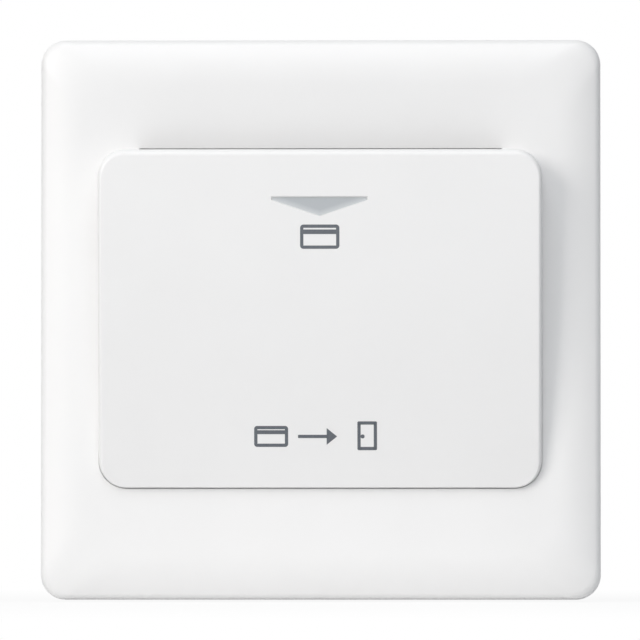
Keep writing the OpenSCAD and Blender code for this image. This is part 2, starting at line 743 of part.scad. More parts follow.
module rear_housing() {
    color([0.3, 0.31, 0.33]) difference() {
        union() {
            difference() {
                slab(0, rear_out) translate([0, (housing_top + housing_bottom) / 2])
                    rounded(2 * housing_x, housing_top - housing_bottom, housing_r);
                block([-housing_x + housing_wall, -1, housing_in_bottom],
                    [housing_x - housing_wall, rear_in, housing_in_top]);
            }
            for (s = [-1, 1]) {
                near = s * (clamp_x - clamp_w / 2 - clamp_play - housing_wall);
                far = s * (housing_x - housing_wall / 2);
                block([min(near, far), clamp_front - fit - housing_wall, housing_bottom + housing_wall / 2],
                    [max(near, far), rear_out - housing_wall / 2, well_top]);
            }
            for (z = case_lug_zs) rod_y(case_back, rear_in + eps, [0, z], case_lug / 2);
            for (x = [-asm_x, asm_x]) for (z = [0, 1]) slab(0, flange_ear_t) {
                translate([x, asm_zs[z]]) circle(asm_ear_r);
                translate([x - asm_ear_r, z == 0 ? housing_in_top + eps : asm_zs[1]])
                    square([2 * asm_ear_r, asm_ear_r + housing_wall - eps]);
            }
        }
        for (s = [-1, 1]) {
            clamp_well(s);
            block([s * clamp_x - clamp_w / 2 - fit, clamp_front - fit, clamp_bottom],
                [s * clamp_x + clamp_w / 2 + fit, clamp_back + fit, clamp_top]);
        }
        for (i = [-2:2]) block([i * vent_step - vent_w / 2, vent_y[0], housing_in_top - 1],
            [i * vent_step + vent_w / 2, vent_y[1], housing_top + 1]);
        block([-label_w / 2, rear_out - label_d, label_z[0]], [label_w / 2, rear_out + 1, label_z[1]]);
        strip_slot(0, clamp_x, open_strip, contact_z);
        for (z = case_lug_zs) rod_y(case_back - 1, rear_in + housing_wall / 3, [0, z], bolt_r + run);
        at_assembly_screws() rod_y(-1, flange_ear_t + 1, [0, 0], bolt_r + fit);
    }
}

module switch_case() {
    color("black") difference() {
        union() {
            block([case_x[0], case_front, case_bottom], [case_x[1], case_back, case_top]);
            slab(case_back - case_lug_t, case_back) {
                for (z = case_lug_zs) translate([0, z]) circle(case_lug / 2);
                translate([-case_lug / 2, case_lug_zs[1]])
                    square([case_lug, case_lug_zs[0] - case_lug_zs[1]]);
            }
        }
        block([case_x[0] + case_wall, case_front + case_wall, case_bottom + case_wall],
            [case_w, case_back - case_wall, case_top - case_wall]);
        rod_y(case_front - 1, case_front + case_wall + 1, [0, plunger_z], plunger_r + run);
        for (z = case_lug_zs) rod_y(case_back - case_lug_t - 1, case_back + 1, [0, z], bolt_r + fit);
        strip_slot(-case_w, 0, blade_y - strip_t / 2, blade_pivot[1]);
        strip_slot(-case_w, 0, closed_strip, contact_z);
    }
}

// A terminal strip that runs along X, and the slot that it passes through
module strip(x0, x1, y, z) {
    block([x0, y, z - strip_w / 2], [x1, y + strip_t, z + strip_w / 2]);
}

module strip_slot(x0, x1, y, z) {
    block([x0, y - fit, z - strip_w / 2 - fit], [x1, y + strip_t + fit, z + strip_w / 2 + fit]);
}

module switch_lid() {
    color([0.15, 0.15, 0.16]) difference() {
        block([case_x[1], case_front, case_bottom], [case_w / 2, case_back, case_top]);
        strip_slot(0, case_w, open_strip, contact_z);
        rod_x(0, case_w, blade_pivot, blade_pin_r + run);
    }
}

module switch_screws() {
    seat = case_back - case_lug_t;
    color("silver") for (z = case_lug_zs) mirror([0, 1, 0])
        screw([0, z], -seat, -rear_in, bolt_r, bolt_head_r, bolt_head_h);
}

module switch_plunger() {
    inner_end = blade_y - blade_t / 2 - rest_gap;
    collar = case_front + case_wall + rest_gap;
    color("ivory") {
        rod_y(plunger_tip + plunger_r, inner_end - plunger_r, [0, plunger_z], plunger_r);
        for (y = [plunger_tip + plunger_r, inner_end - plunger_r])
            translate([0, y, plunger_z]) sphere(plunger_r);
        rod_y(collar, collar + 0.8, [0, plunger_z], plunger_r + 0.8);
    }
}

module contact_blade() {
    eye_r = blade_pin_r + 0.7;
    back = blade_y + blade_t / 2;
    color("goldenrod") difference() {
        union() {
            block([-blade_w / 2, back - blade_t, contact_z - button_r - strip_gap],
                [blade_w / 2, back, blade_pivot[1]]);
            rod_x(-blade_w / 2, blade_w / 2, blade_pivot, eye_r);
            rod_y(back - blade_t - button_h, back + button_h, [0, contact_z], button_r);
        }
        rod_x(-blade_w, blade_w, blade_pivot, blade_pin_r + run);
    }
}

module contact_spring() {
    color("silver") tube(compression_path, spring_wire / 2, [0, 1, 0]);
}

module common_terminal() {
    front = blade_y - strip_t / 2;
    drop_x = -clamp_x - strip_w / 2;
    color("goldenrod") {
        strip(drop_x, -blade_w / 2 - strip_gap, front, blade_pivot[1]);
        rod_x(-blade_w / 2 - strip_gap - strip_t, case_w / 2 - fit, blade_pivot, blade_pin_r);
        block([drop_x, front, clamp_top], [drop_x + strip_w, front + strip_t, blade_pivot[1] + eps]);
        block([drop_x, front, clamp_top], [drop_x + strip_w, clamp_back - 1, clamp_top + strip_t]);
    }
}

module open_terminal() {
    color("goldenrod") {
        strip(-button_r - strip_end, clamp_x - clamp_w / 2, open_strip, contact_z);
        rod_y(open_face, open_strip + eps, [0, contact_z], button_r);
    }
}

module closed_terminal() {
    color("goldenrod") {
        strip(-case_w / 2 - 3.6, button_r + strip_end, closed_strip, contact_z);
        rod_y(closed_strip + strip_t - eps, closed_face, [0, contact_z], button_r);
    }
}

module clamp(x) {
    color("gold") difference() {
        block([x - clamp_w / 2, clamp_front, clamp_bottom], [x + clamp_w / 2, clamp_back, clamp_top]);
        translate([x, wire_y, clamp_bottom - 1]) cylinder(h = clamp_l - 1, r = wire_r);
        rod_y(wire_y, clamp_back + 1, [x, clamp_screw_z], clamp_screw_r + run);
    }
}

module line_clamp() {
    clamp(-clamp_x);
}

module load_clamp() {
    clamp(clamp_x);
}

module terminal_screws() {
    tip = wire_y + wire_r + 0.2;
    color("silver") for (x = [-clamp_x, clamp_x])
        screw([x, clamp_screw_z], clamp_back, tip, clamp_screw_r, clamp_head_r, clamp_head_h);
}

module circuit_board() {
    color("seagreen") difference() {
        slab(board_front, board_back) translate([0, (board_top + board_bottom) / 2])
            rounded(board_w, board_top - board_bottom, board_r);
        for (x = [-post_x, post_x]) rod_y(board_front - 1, board_back + 1, [x, post_z], screw_r + fit);
    }
}

module board_screws() {
    color("silver") for (x = [-post_x, post_x])
        screw([x, post_z], board_back, guide_back + 1.2, screw_r, screw_head_r, screw_head_h);
}

module led() {
    dome_y = board_front - led_h + led_r;
    color([1, 0.75, 0.7]) {
        rod_y(dome_y, board_front, [0, led_z], led_r);
        translate([0, dome_y, led_z]) sphere(led_r);
        rod_y(board_front - 0.8, board_front, [0, led_z], led_r + 0.4);
    }
}

// Round component lying on the board, with its two bent leads
module axial(z, body_r, body_l) {
    y = board_back + body_r + fit;
    rod_x(part_x - body_l / 2, part_x + body_l / 2, [y, z], body_r);
    rod_x(part_x - part_feet / 2, part_x + part_feet / 2, [y, z], part_wire_r);
    for (s = [-1, 1]) rod_y(board_back, y + part_wire_r, [part_x + s * part_feet / 2, z], part_wire_r);
}

module resistors() {
    color("tan") for (s = [-0.5, 0.5]) axial(led_z + s * part_step, resistor_r, resistor_l);
}

module rectifier_diode() {
    color("dimgrey") axial(led_z - diode_down, diode_r, diode_l);
}

module dropper_capacitor() {
    color("goldenrod") slab(board_back, board_back + cap_h) translate([cap_x, led_z - 1])
        rounded(cap_side, cap_side, board_r);
}

module lamp_leads() {
    color("firebrick") {
        tube(closed_lead, lead_r, [1, 0, 0], 8);
        tube(open_lead, lead_r, [1, 0, 0], 8);
    }
}

face_plate();
card_cover();
arrow_lens();
cover_screws();
mounting_frame();
card_guide();
lamp_window();
assembly_screws();
card_lever();
lever_pin();
lever_spring();
rear_housing();
switch_case();
switch_lid();
switch_screws();
switch_plunger();
contact_blade();
contact_spring();
common_terminal();
open_terminal();
closed_terminal();
line_clamp();
load_clamp();
terminal_screws();
circuit_board();
board_screws();
led();
resistors();
rectifier_diode();
dropper_capacitor();
lamp_leads();
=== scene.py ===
import json
import math
import bpy
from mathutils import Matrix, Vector


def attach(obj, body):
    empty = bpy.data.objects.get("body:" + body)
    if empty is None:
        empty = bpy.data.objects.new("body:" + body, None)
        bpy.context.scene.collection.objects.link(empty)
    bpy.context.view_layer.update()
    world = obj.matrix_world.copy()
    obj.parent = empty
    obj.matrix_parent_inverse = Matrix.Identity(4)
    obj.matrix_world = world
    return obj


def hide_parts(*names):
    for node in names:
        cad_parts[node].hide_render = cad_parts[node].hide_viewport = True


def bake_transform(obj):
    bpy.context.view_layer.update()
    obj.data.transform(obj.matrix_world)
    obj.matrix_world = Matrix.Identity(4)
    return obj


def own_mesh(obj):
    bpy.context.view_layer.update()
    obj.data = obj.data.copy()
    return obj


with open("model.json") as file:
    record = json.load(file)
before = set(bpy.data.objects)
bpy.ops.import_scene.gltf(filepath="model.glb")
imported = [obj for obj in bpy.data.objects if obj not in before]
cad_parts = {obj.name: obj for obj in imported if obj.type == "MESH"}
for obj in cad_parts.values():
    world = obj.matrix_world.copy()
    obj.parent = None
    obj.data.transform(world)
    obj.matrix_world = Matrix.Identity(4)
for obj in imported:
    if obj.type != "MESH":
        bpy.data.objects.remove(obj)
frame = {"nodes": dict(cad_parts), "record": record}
nodes = frame["nodes"]
bodyOf = {n: body for body, names in frame["record"]["behaviour"]["bodies"].items() for n in names}
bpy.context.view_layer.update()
mm = 0.001
print("frame loaded:", len(nodes), "nodes")

# Hand tools used all over
bench = {"same": 1e-6, "weld": 0.001 * mm, "cadWeld": 0.002 * mm, "cadFlat": math.radians(0.5),
         "sliver": 0.0005 * mm, "edgeAngle": math.radians(40), "edgeRows": 2,
         "over": 1 * mm}  # how far a cutter goes past the surface


def clearSelection():
    if bpy.context.object and bpy.context.object.mode != "OBJECT":
        bpy.ops.object.mode_set(mode="OBJECT")
    bpy.ops.object.select_all(action="DESELECT")


def pick(obj):
    clearSelection()
    obj.select_set(True)
    bpy.context.view_layer.objects.active = obj


def enterEdit(obj, kind="VERT"):
    pick(obj)
    bpy.ops.object.mode_set(mode="EDIT")
    bpy.ops.mesh.select_mode(type=kind)
    bpy.ops.mesh.select_all(action="SELECT")


def leaveEdit():
    bpy.ops.object.mode_set(mode="OBJECT")


def settle(obj):
    pick(obj)
    bpy.ops.object.transform_apply(location=True, rotation=True, scale=True)


def addModifier(obj, kind, **values):
    pick(obj)
    modifier = obj.modifiers.new(kind.lower(), kind)
    for name, value in values.items():
        setattr(modifier, name, value)
    bpy.ops.object.modifier_apply(modifier=modifier.name)


def carve(target, cutter, operation="DIFFERENCE"):
    addModifier(target, "BOOLEAN", object=cutter, operation=operation, solver="EXACT")
    bpy.data.objects.remove(cutter)


def joinAll(parts, name):
    clearSelection()
    for part in parts:
        part.select_set(True)
    bpy.context.view_layer.objects.active = parts[0]
    if len(parts) > 1:
        bpy.ops.object.join()
    joined = bpy.context.object
    joined.name = name
    settle(joined)
    return joined


def smooth(obj, angle):
    pick(obj)
    bpy.ops.object.shade_smooth_by_angle(angle=math.radians(angle))


def blockAt(low, high):
    clearSelection()
    middle = [(a + b) / 2 for a, b in zip(low, high)]
    bpy.ops.mesh.primitive_cube_add(size=1, location=middle)
    block = bpy.context.object
    block.scale = [b - a for a, b in zip(low, high)]
    settle(block)
    return block


def rodY(y0, y1, x, z, radius, sides=40):
    clearSelection()
    bpy.ops.mesh.primitive_cylinder_add(vertices=sides, radius=radius, depth=y1 - y0,
                                        location=(x, (y0 + y1) / 2, z), rotation=(math.pi / 2, 0, 0))
    rod = bpy.context.object
    settle(rod)
    return rod


# A rounded rectangle facing -Y: a plane whose corners are bevelled
def roundedFace(width, height, radius, y, centreZ=0.0, segments=12):
    clearSelection()
    bpy.ops.mesh.primitive_plane_add(size=1, location=(0, y, centreZ), rotation=(math.pi / 2, 0, 0))
    face = bpy.context.object
    face.scale = (width, height, 1)
    settle(face)
    enterEdit(face)
    bpy.ops.mesh.bevel(affect="VERTICES", offset=radius, segments=segments, profile=0.5)
    leaveEdit()
    return face


def roundedPrism(width, height, radius, y0, y1):
    prism = roundedFace(width, height, radius, y0)
    enterEdit(prism, "FACE")
    bpy.ops.mesh.extrude_region_move(TRANSFORM_OT_translate={"value": (0, y1 - y0, 0)})
    bpy.ops.mesh.select_all(action="SELECT")
    bpy.ops.mesh.normals_make_consistent(inside=False)
    leaveEdit()
    return prism


# Enters edit mode with only the edges that pass the test selected
def chooseEdges(obj, test):
    enterEdit(obj, "EDGE")
    bpy.ops.mesh.select_all(action="DESELECT")
    leaveEdit()
    for edge in obj.data.edges:
        a, b = edge.vertices
        edge.select = test(a, b, obj.data.vertices[a].co, obj.data.vertices[b].co)
    bpy.ops.object.mode_set(mode="EDIT")


# Joins rings of equal count in their order, and bridges each to the next
def bridgeRings(rings, name):
    count = len(rings[0].data.vertices)
    for ring in rings:
        enterEdit(ring)
        bpy.ops.mesh.delete(type="ONLY_FACE")
        leaveEdit()
    skin = joinAll(rings, name)
    for step in range(len(rings) - 1):
        chooseEdges(skin, lambda a, b, p, q: a // count == b // count and a // count in (step, step + 1))
        bpy.ops.mesh.bridge_edge_loops()
    leaveEdit()
    return skin


# A copy of a CAD node with its loose triangles merged
def mergedCopy(node, name):
    piece = nodes[node].copy()
    piece.data = nodes[node].data.copy()
    bpy.context.scene.collection.objects.link(piece)
    piece.parent = None
    for key in list(piece.keys()):
        del piece[key]
    piece.name = name
    enterEdit(piece)
    bpy.ops.mesh.remove_doubles(threshold=bench["cadWeld"])
    bpy.ops.mesh.dissolve_limited(angle_limit=bench["cadFlat"])
    leaveEdit()
    return piece


# Without the weighted normals, rounded edges would shade the flat faces beside them
def smoothFlats(piece, angle):
    smooth(piece, angle)
    addModifier(piece, "WEIGHTED_NORMAL", keep_sharp=True)


def softenEdges(piece, width, clamped):
    addModifier(piece, "BEVEL", width=width, segments=bench["edgeRows"], limit_method="ANGLE",
                angle_limit=bench["edgeAngle"], use_clamp_overlap=clamped)
    smoothFlats(piece, 35)


def dress(piece, node, finish):
    piece.data.materials.clear()
    piece.data.materials.append(finish)
    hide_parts(node)


def place(piece, node, finish):
    dress(piece, node, finish)
    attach(piece, bodyOf[node])


# Finishes

def newFinish(name, colour, roughness, metallic=0.0, **sockets):
    finish = bpy.data.materials.new(name)
    finish.use_nodes = True
    shader = finish.node_tree.nodes["Principled BSDF"]
    shader.inputs["Base Color"].default_value = (*colour, 1)
    shader.inputs["Roughness"].default_value = roughness
    shader.inputs["Metallic"].default_value = metallic
    for socket, value in sockets.items():
        shader.inputs[socket.replace("_", " ")].default_value = value
    return finish


# The next three also serve the world, which has a node tree of its own
def addNode(finish, kind, **inputs):
    node = finish.node_tree.nodes.new(kind)
    for name, value in inputs.items():
        node.inputs[name.replace("_", " ")].default_value = value
    return node


def addMath(finish, operation, *constants):
    node = addNode(finish, "ShaderNodeMath")
    node.operation = operation
    for socket, value in enumerate(constants, 1):  # the first input is wired
        node.inputs[socket].default_value = value
    return node


def wire(finish, source, target):
    finish.node_tree.links.new(source, target)


def shaderOf(finish):
    return finish.node_tree.nodes["Principled BSDF"]


def objectNoise(finish, scale, detail=3.0, stretch=(1, 1, 1)):
    coords = addNode(finish, "ShaderNodeTexCoord")
    mapping = addNode(finish, "ShaderNodeMapping", Scale=stretch)
    noise = addNode(finish, "ShaderNodeTexNoise", Scale=scale, Detail=detail)
    wire(finish, coords.outputs["Object"], mapping.inputs["Vector"])
    wire(finish, mapping.outputs["Vector"], noise.inputs["Vector"])
    return noise.outputs["Fac"]


def addGrain(finish, scale, strength, depth, stretch=(1, 1, 1)):
    bump = addNode(finish, "ShaderNodeBump", Strength=strength, Distance=depth)
    wire(finish, objectNoise(finish, scale, 4.0, stretch), bump.inputs["Height"])
    wire(finish, bump.outputs["Normal"], shaderOf(finish).inputs["Normal"])


noiseSpan = (0.3, 0.7)  # most of a noise lies in here
toneSpan = (0.35, 0.65)


def spread(finish, source, socket, low, high):
    span = addNode(finish, "ShaderNodeMapRange", From_Min=noiseSpan[0], From_Max=noiseSpan[1],
                   To_Min=low, To_Max=high)
    wire(finish, source, span.inputs["Value"])
    wire(finish, span.outputs["Result"], shaderOf(finish).inputs[socket])


def tint(finish, source, dark, light, span=toneSpan):
    ramp = addNode(finish, "ShaderNodeValToRGB")
    for element, position, colour in zip(ramp.color_ramp.elements, span, (dark, light)):
        element.position = position
        element.color = (*colour, 1)
    wire(finish, source, ramp.inputs["Fac"])
    wire(finish, ramp.outputs["Color"], shaderOf(finish).inputs["Base Color"])


def shaded(colour, factor):
    return [c * factor for c in colour]


moulding = {"depth": 0.03 * mm, "toneScale": 60, "glossScale": 240, "gloss": 0.03}
drawing = {"depth": 0.02 * mm, "grain": 0.15, "toneScale": 300, "dark": 0.86, "glossScale": 700,
           "bright": 0.08, "dull": 0.1}


def mouldedPlastic(name, colour, roughness, grain=9000, strength=0.08, variation=0.012):
    finish = newFinish(name, colour, roughness)
    addGrain(finish, grain, strength, moulding["depth"])
    tint(finish, objectNoise(finish, moulding["toneScale"]), shaded(colour, 1 - variation), colour)
    spread(finish, objectNoise(finish, moulding["glossScale"]), "Roughness",
           roughness - moulding["gloss"], roughness + moulding["gloss"])
    return finish


def metalGround(name, colour, roughness, stretch, grain):
    finish = newFinish(name, colour, roughness, 1.0)
    addGrain(finish, grain, drawing["grain"], drawing["depth"], stretch)
    spread(finish, objectNoise(finish, drawing["glossScale"], 3.0, stretch), "Roughness",
           roughness - drawing["bright"], roughness + drawing["dull"])
    return finish


def drawnMetal(name, colour, roughness):
    finish = metalGround(name, colour, roughness, (1, 1, 1), 2500)
    tint(finish, objectNoise(finish, drawing["toneScale"]), shaded(colour, drawing["dark"]), colour)
    return finish


whitePlastic = mouldedPlastic("satinWhitePlastic", (0.87, 0.868, 0.864), 0.38)
guideWhite = mouldedPlastic("mattWhitePlastic", (0.86, 0.86, 0.85), 0.5, 6000, 0.12)
leverPlastic = mouldedPlastic("acetalPlastic", (0.74, 0.74, 0.71), 0.34, 7000)
housingPlastic = mouldedPlastic("housingPlastic", (0.105, 0.11, 0.12), 0.55, 2600, 0.35, 0.12)
switchPlastic = mouldedPlastic("switchPlastic", (0.03, 0.03, 0.033), 0.45, 4000, 0.2, 0.15)
plungerPlastic = mouldedPlastic("plungerPlastic", (0.76, 0.68, 0.5), 0.25, 6000, 0.05, 0.04)
screwSteel = drawnMetal("screwSteel", (0.62, 0.62, 0.6), 0.3)
springSteel = drawnMetal("springSteel", (0.4, 0.4, 0.42), 0.26)
brassMetal = drawnMetal("brassMetal", (0.72, 0.5, 0.2), 0.28)
leadSleeve = mouldedPlastic("leadSleeve", (0.42, 0.03, 0.025), 0.45, 5000, 0.1, 0.1)
capacitorShell = mouldedPlastic("capacitorShell", (0.5, 0.3, 0.04), 0.3, 5000, 0.06, 0.06)
zinc = {"colour": (0.6, 0.61, 0.62), "dark": (0.56, 0.57, 0.58), "light": (0.62, 0.63, 0.64),
        "roughness": 0.4, "stretch": (1, 1, 6), "grain": 1200, "cells": 900}


# Zinc plate: faint cells over a drawn grain
def zincSheet():
    finish = metalGround("zincSheet", zinc["colour"], zinc["roughness"], zinc["stretch"], zinc["grain"])
    coords = addNode(finish, "ShaderNodeTexCoord")
    spangle = addNode(finish, "ShaderNodeTexVoronoi", Scale=zinc["cells"])
    wire(finish, coords.outputs["Object"], spangle.inputs["Vector"])
    split = addNode(finish, "ShaderNodeSeparateColor")
    wire(finish, spangle.outputs["Color"], split.inputs["Color"])
    tint(finish, split.outputs["Red"], zinc["dark"], zinc["light"])
    return finish


# Pale translucent grey, with a painted highlight: lighter along the slanted lower edges, standing in for the
# light that the lens's rim catches
def lensPlastic():
    finish = newFinish("lensPlastic", arrow["core"], 0.3, Transmission_Weight=0.15, IOR=1.49)
    addGrain(finish, 3000, 0.06, 0.02 * mm)
    coords = addNode(finish, "ShaderNodeTexCoord")
    axes = addNode(finish, "ShaderNodeSeparateXYZ")
    wire(finish, coords.outputs["Object"], axes.inputs["Vector"])
    side = addMath(finish, "ABSOLUTE")
    slant = addMath(finish, "MULTIPLY_ADD", 2 * (arrow["height"] - arrow["end"]) / arrow["width"],
                    arrow["top"] - arrow["height"])
    above = addMath(finish, "SUBTRACT")
    wire(finish, axes.outputs["X"], side.inputs[0])
    wire(finish, side.outputs[0], slant.inputs[0])
    wire(finish, axes.outputs["Z"], above.inputs[0])
    wire(finish, slant.outputs[0], above.inputs[1])
    inward = addNode(finish, "ShaderNodeMapRange", From_Min=0, From_Max=arrow["fade"])
    wire(finish, above.outputs[0], inward.inputs["Value"])
    # painted highlight: the lighter edge colour at the slanted edges, fading to the core grey over the fade
    # width
    tint(finish, inward.outputs["Result"], arrow["edge"], arrow["core"], (0, 1))
    return finish


def clearPlastic():
    finish = newFinish("clearPlastic", (0.9, 0.93, 0.95), 0.08, Transmission_Weight=0.9, IOR=1.49)
    addGrain(finish, 900, 0.04, 0.02 * mm)
    return finish


def ledPlastic():
    finish = newFinish("ledPlastic", (0.8, 0.35, 0.28), 0.2, Transmission_Weight=0.35, IOR=1.5)
    addGrain(finish, 4000, 0.05, 0.02 * mm)
    return finish


board = {"colour": (0.02, 0.14, 0.06), "mask": (0.014, 0.11, 0.045), "track": (0.04, 0.21, 0.085),
         "fields": 170, "rows": 210, "trackEdge": (0.72, 0.8)}


# Rows of copper tracks under the mask, turned from field to field
def boardLaminate():
    finish = newFinish("boardLaminate", board["colour"], 0.35)
    coords = addNode(finish, "ShaderNodeTexCoord")
    fields = addNode(finish, "ShaderNodeTexChecker", Scale=board["fields"])
    pickRow = addNode(finish, "ShaderNodeMix")
    wire(finish, coords.outputs["Object"], fields.inputs["Vector"])
    wire(finish, fields.outputs["Fac"], pickRow.inputs["Factor"])
    for direction, socket in (("X", "A"), ("Z", "B")):
        rows = addNode(finish, "ShaderNodeTexWave", Scale=board["rows"])
        rows.bands_direction = direction
        wire(finish, coords.outputs["Object"], rows.inputs["Vector"])
        wire(finish, rows.outputs["Fac"], pickRow.inputs[socket])
    tint(finish, pickRow.outputs["Result"], board["mask"], board["track"], board["trackEdge"])
    addGrain(finish, 1800, 0.08, 0.03 * mm)
    return finish


# A ramp with hard steps
def setStops(ramp, stops):
    ramp.interpolation = "CONSTANT"
    for element, (position, colour) in zip(ramp.elements, (stops[0], stops[-1])):
        element.position = position
        element.color = (*colour, 1)
    for position, colour in stops[1:-1]:
        ramp.elements.new(position).color = (*colour, 1)


# Small parts on the board: a lacquered body with bands along X, and tinned wires at its ends
axialParts = {
    "resistorLacquer": {"from": 3.1, "to": 9.3, "colour": (0.6, 0.45, 0.28), "width": 0.5,
                        "bands": [(4.3, (0.25, 0.09, 0.03)), (5.5, (0.02, 0.02, 0.02)),
                                  (6.7, (0.75, 0.25, 0.02)), (8.1, (0.5, 0.35, 0.08))]},
    "diodeShell": {"from": 3.7, "to": 8.7, "colour": (0.03, 0.03, 0.032), "width": 0.8,
                   "bands": [(7.4, (0.55, 0.55, 0.55))]},
}
wireEnds = (1.5, 10.9)
tin = (0.62, 0.62, 0.6)


def axialFinish(name):
    spec = axialParts[name]
    finish = newFinish(name, spec["colour"], 0.38)
    coords = addNode(finish, "ShaderNodeTexCoord")
    axes = addNode(finish, "ShaderNodeSeparateXYZ")
    along = addNode(finish, "ShaderNodeMapRange", From_Min=wireEnds[0] * mm, From_Max=wireEnds[1] * mm)
    colours = addNode(finish, "ShaderNodeValToRGB")
    metal = addNode(finish, "ShaderNodeValToRGB")

    def share(x):
        return (x - wireEnds[0]) / (wireEnds[1] - wireEnds[0])

    stops = [(0, tin), (share(spec["from"]), spec["colour"])]
    for x, colour in spec["bands"]:
        stops += [(share(x), colour), (share(x + spec["width"]), spec["colour"])]
    setStops(colours.color_ramp, stops + [(share(spec["to"]), tin)])
    setStops(metal.color_ramp, [(0, (1, 1, 1)), (share(spec["from"]), (0, 0, 0)),
                                (share(spec["to"]), (1, 1, 1))])
    wire(finish, coords.outputs["Object"], axes.inputs["Vector"])
    wire(finish, axes.outputs["X"], along.inputs["Value"])
    wire(finish, along.outputs["Result"], colours.inputs["Fac"])
    wire(finish, along.outputs["Result"], metal.inputs["Fac"])
    wire(finish, colours.outputs["Color"], shaderOf(finish).inputs["Base Color"])
    wire(finish, metal.outputs["Color"], shaderOf(finish).inputs["Metallic"])
    addGrain(finish, 5000, 0.06, 0.02 * mm)
    return finish


def printInk():
    finish = newFinish("printInk", (0.115, 0.128, 0.145), 0.45)
    addGrain(finish, 12000, 0.1, 0.01 * mm)
    tint(finish, objectNoise(finish, 2500), (0.105, 0.118, 0.135), (0.125, 0.138, 0.155))
    return finish


print("finishes made")

# Camera, light and floor
view = {"distance": 1.2, "fromRight": 1.0, "fromBelow": 1.5, "frameWidth": 98.37 * mm, "targetY": -6 * mm,
        "sensor": 36, "shiftX": -0.0011, "shiftY": -0.0005, "clipEnd": 10}


def makeCamera():
    a = math.radians(view["fromRight"])
    e = math.radians(view["fromBelow"])
    away = Vector((math.sin(a) * math.cos(e), -math.cos(a) * math.cos(e), -math.sin(e)))
    target = Vector((0, view["targetY"], 0))
    data = bpy.data.cameras.new("photoCamera")
    data.sensor_width = view["sensor"]
    data.lens = view["sensor"] * view["distance"] / view["frameWidth"]
    data.shift_x = view["shiftX"]
    data.shift_y = view["shiftY"]
    data.clip_end = view["clipEnd"]
    camera = bpy.data.objects.new("photoCamera", data)
    bpy.context.scene.collection.objects.link(camera)
    camera.location = target + away * view["distance"]
    camera.rotation_euler = (-away).to_track_quat("-Z", "Y").to_euler()
    bpy.context.scene.camera = camera


lamps = {"ambient": 0.18, "overhead": 0.18, "ambientTint": (0.905, 0.95, 1.0, 1),
         "key": {"power": 7.5, "size": 0.65, "at": (-0.8, -0.9, 0.42), "tint": (1.0, 0.969, 0.935)},
         "top": {"power": 2.2, "size": 0.5, "at": (0, -0.42, 0.6), "tint": (0.975, 0.981, 1.0)},
         "front": {"power": 1.0, "size": 0.8, "at": (0.1, -1.2, 0.1), "tint": (0.965, 0.976, 1.0)}}


# Camera, glossy and clear rays see plain white; all others get the soft ambient light
def makeLight():
    world = bpy.data.worlds.new("studio")
    bpy.context.scene.world = world
    world.use_nodes = True
    ambient = world.node_tree.nodes["Background"]
    ambient.inputs["Color"].default_value = lamps["ambientTint"]
    coords = addNode(world, "ShaderNodeTexCoord")
    axes = addNode(world, "ShaderNodeSeparateXYZ")
    upward = addMath(world, "MAXIMUM", 0)
    strength = addMath(world, "MULTIPLY_ADD", lamps["overhead"], lamps["ambient"])
    wire(world, coords.outputs["Generated"], axes.inputs["Vector"])
    wire(world, axes.outputs["Z"], upward.inputs[0])
    wire(world, upward.outputs[0], strength.inputs[0])
    wire(world, strength.outputs[0], ambient.inputs["Strength"])
    white = addNode(world, "ShaderNodeBackground", Color=(1, 1, 1, 1), Strength=1.0)
    path = addNode(world, "ShaderNodeLightPath")
    seen = addMath(world, "MAXIMUM")
    seenToo = addMath(world, "MAXIMUM")
    mix = addNode(world, "ShaderNodeMixShader")
    wire(world, path.outputs["Is Camera Ray"], seen.inputs[0])
    wire(world, path.outputs["Is Glossy Ray"], seen.inputs[1])
    wire(world, seen.outputs[0], seenToo.inputs[0])
    wire(world, path.outputs["Is Transmission Ray"], seenToo.inputs[1])
    wire(world, seenToo.outputs[0], mix.inputs["Fac"])
    wire(world, ambient.outputs[0], mix.inputs[1])
    wire(world, white.outputs[0], mix.inputs[2])
    wire(world, mix.outputs[0], world.node_tree.nodes["World Output"].inputs["Surface"])
    for name in ("key", "top", "front"):
        spec = lamps[name]
        data = bpy.data.lights.new(name + "Lamp", "AREA")
        data.size = spec["size"]
        data.energy = spec["power"]
        data.color = spec["tint"]
        lamp = bpy.data.objects.new(name + "Lamp", data)
        bpy.context.scene.collection.objects.link(lamp)
        lamp.location = spec["at"]
        lamp.rotation_euler = (-Vector(spec["at"])).to_track_quat("-Z", "Y").to_euler()


floorSizes = {"side": 0.5, "level": -43.4 * mm, "tone": 0.84, "roughness": 0.8,
              "white": (0.9, 1.0), "fade": (60 * mm, 230 * mm)}


# The floor keeps the shadow, which fades out to white towards the edge
def makeFloor():
    clearSelection()
    bpy.ops.mesh.primitive_plane_add(size=floorSizes["side"], location=(0, 0, floorSizes["level"]))
    floor = bpy.context.object
    floor.name = "floor"
    finish = newFinish("paleFloor", [floorSizes["tone"]] * 3, floorSizes["roughness"])
    near, far = floorSizes["fade"]
    least, most = floorSizes["white"]
    coords = addNode(finish, "ShaderNodeTexCoord")
    away = addNode(finish, "ShaderNodeVectorMath")
    away.operation = "LENGTH"
    white = addNode(finish, "ShaderNodeMapRange", From_Min=near, From_Max=far, To_Min=least, To_Max=most)
    path = addNode(finish, "ShaderNodeLightPath")
    share = addMath(finish, "MULTIPLY")
    glow = addNode(finish, "ShaderNodeEmission")
    mix = addNode(finish, "ShaderNodeMixShader")
    wire(finish, coords.outputs["Object"], away.inputs[0])
    wire(finish, away.outputs["Value"], white.inputs["Value"])
    wire(finish, path.outputs["Is Camera Ray"], share.inputs[0])
    wire(finish, white.outputs["Result"], share.inputs[1])
    wire(finish, share.outputs[0], mix.inputs["Fac"])
    wire(finish, shaderOf(finish).outputs[0], mix.inputs[1])
    wire(finish, glow.outputs[0], mix.inputs[2])
    wire(finish, mix.outputs[0], finish.node_tree.nodes["Material Output"].inputs["Surface"])
    floor.data.materials.append(finish)


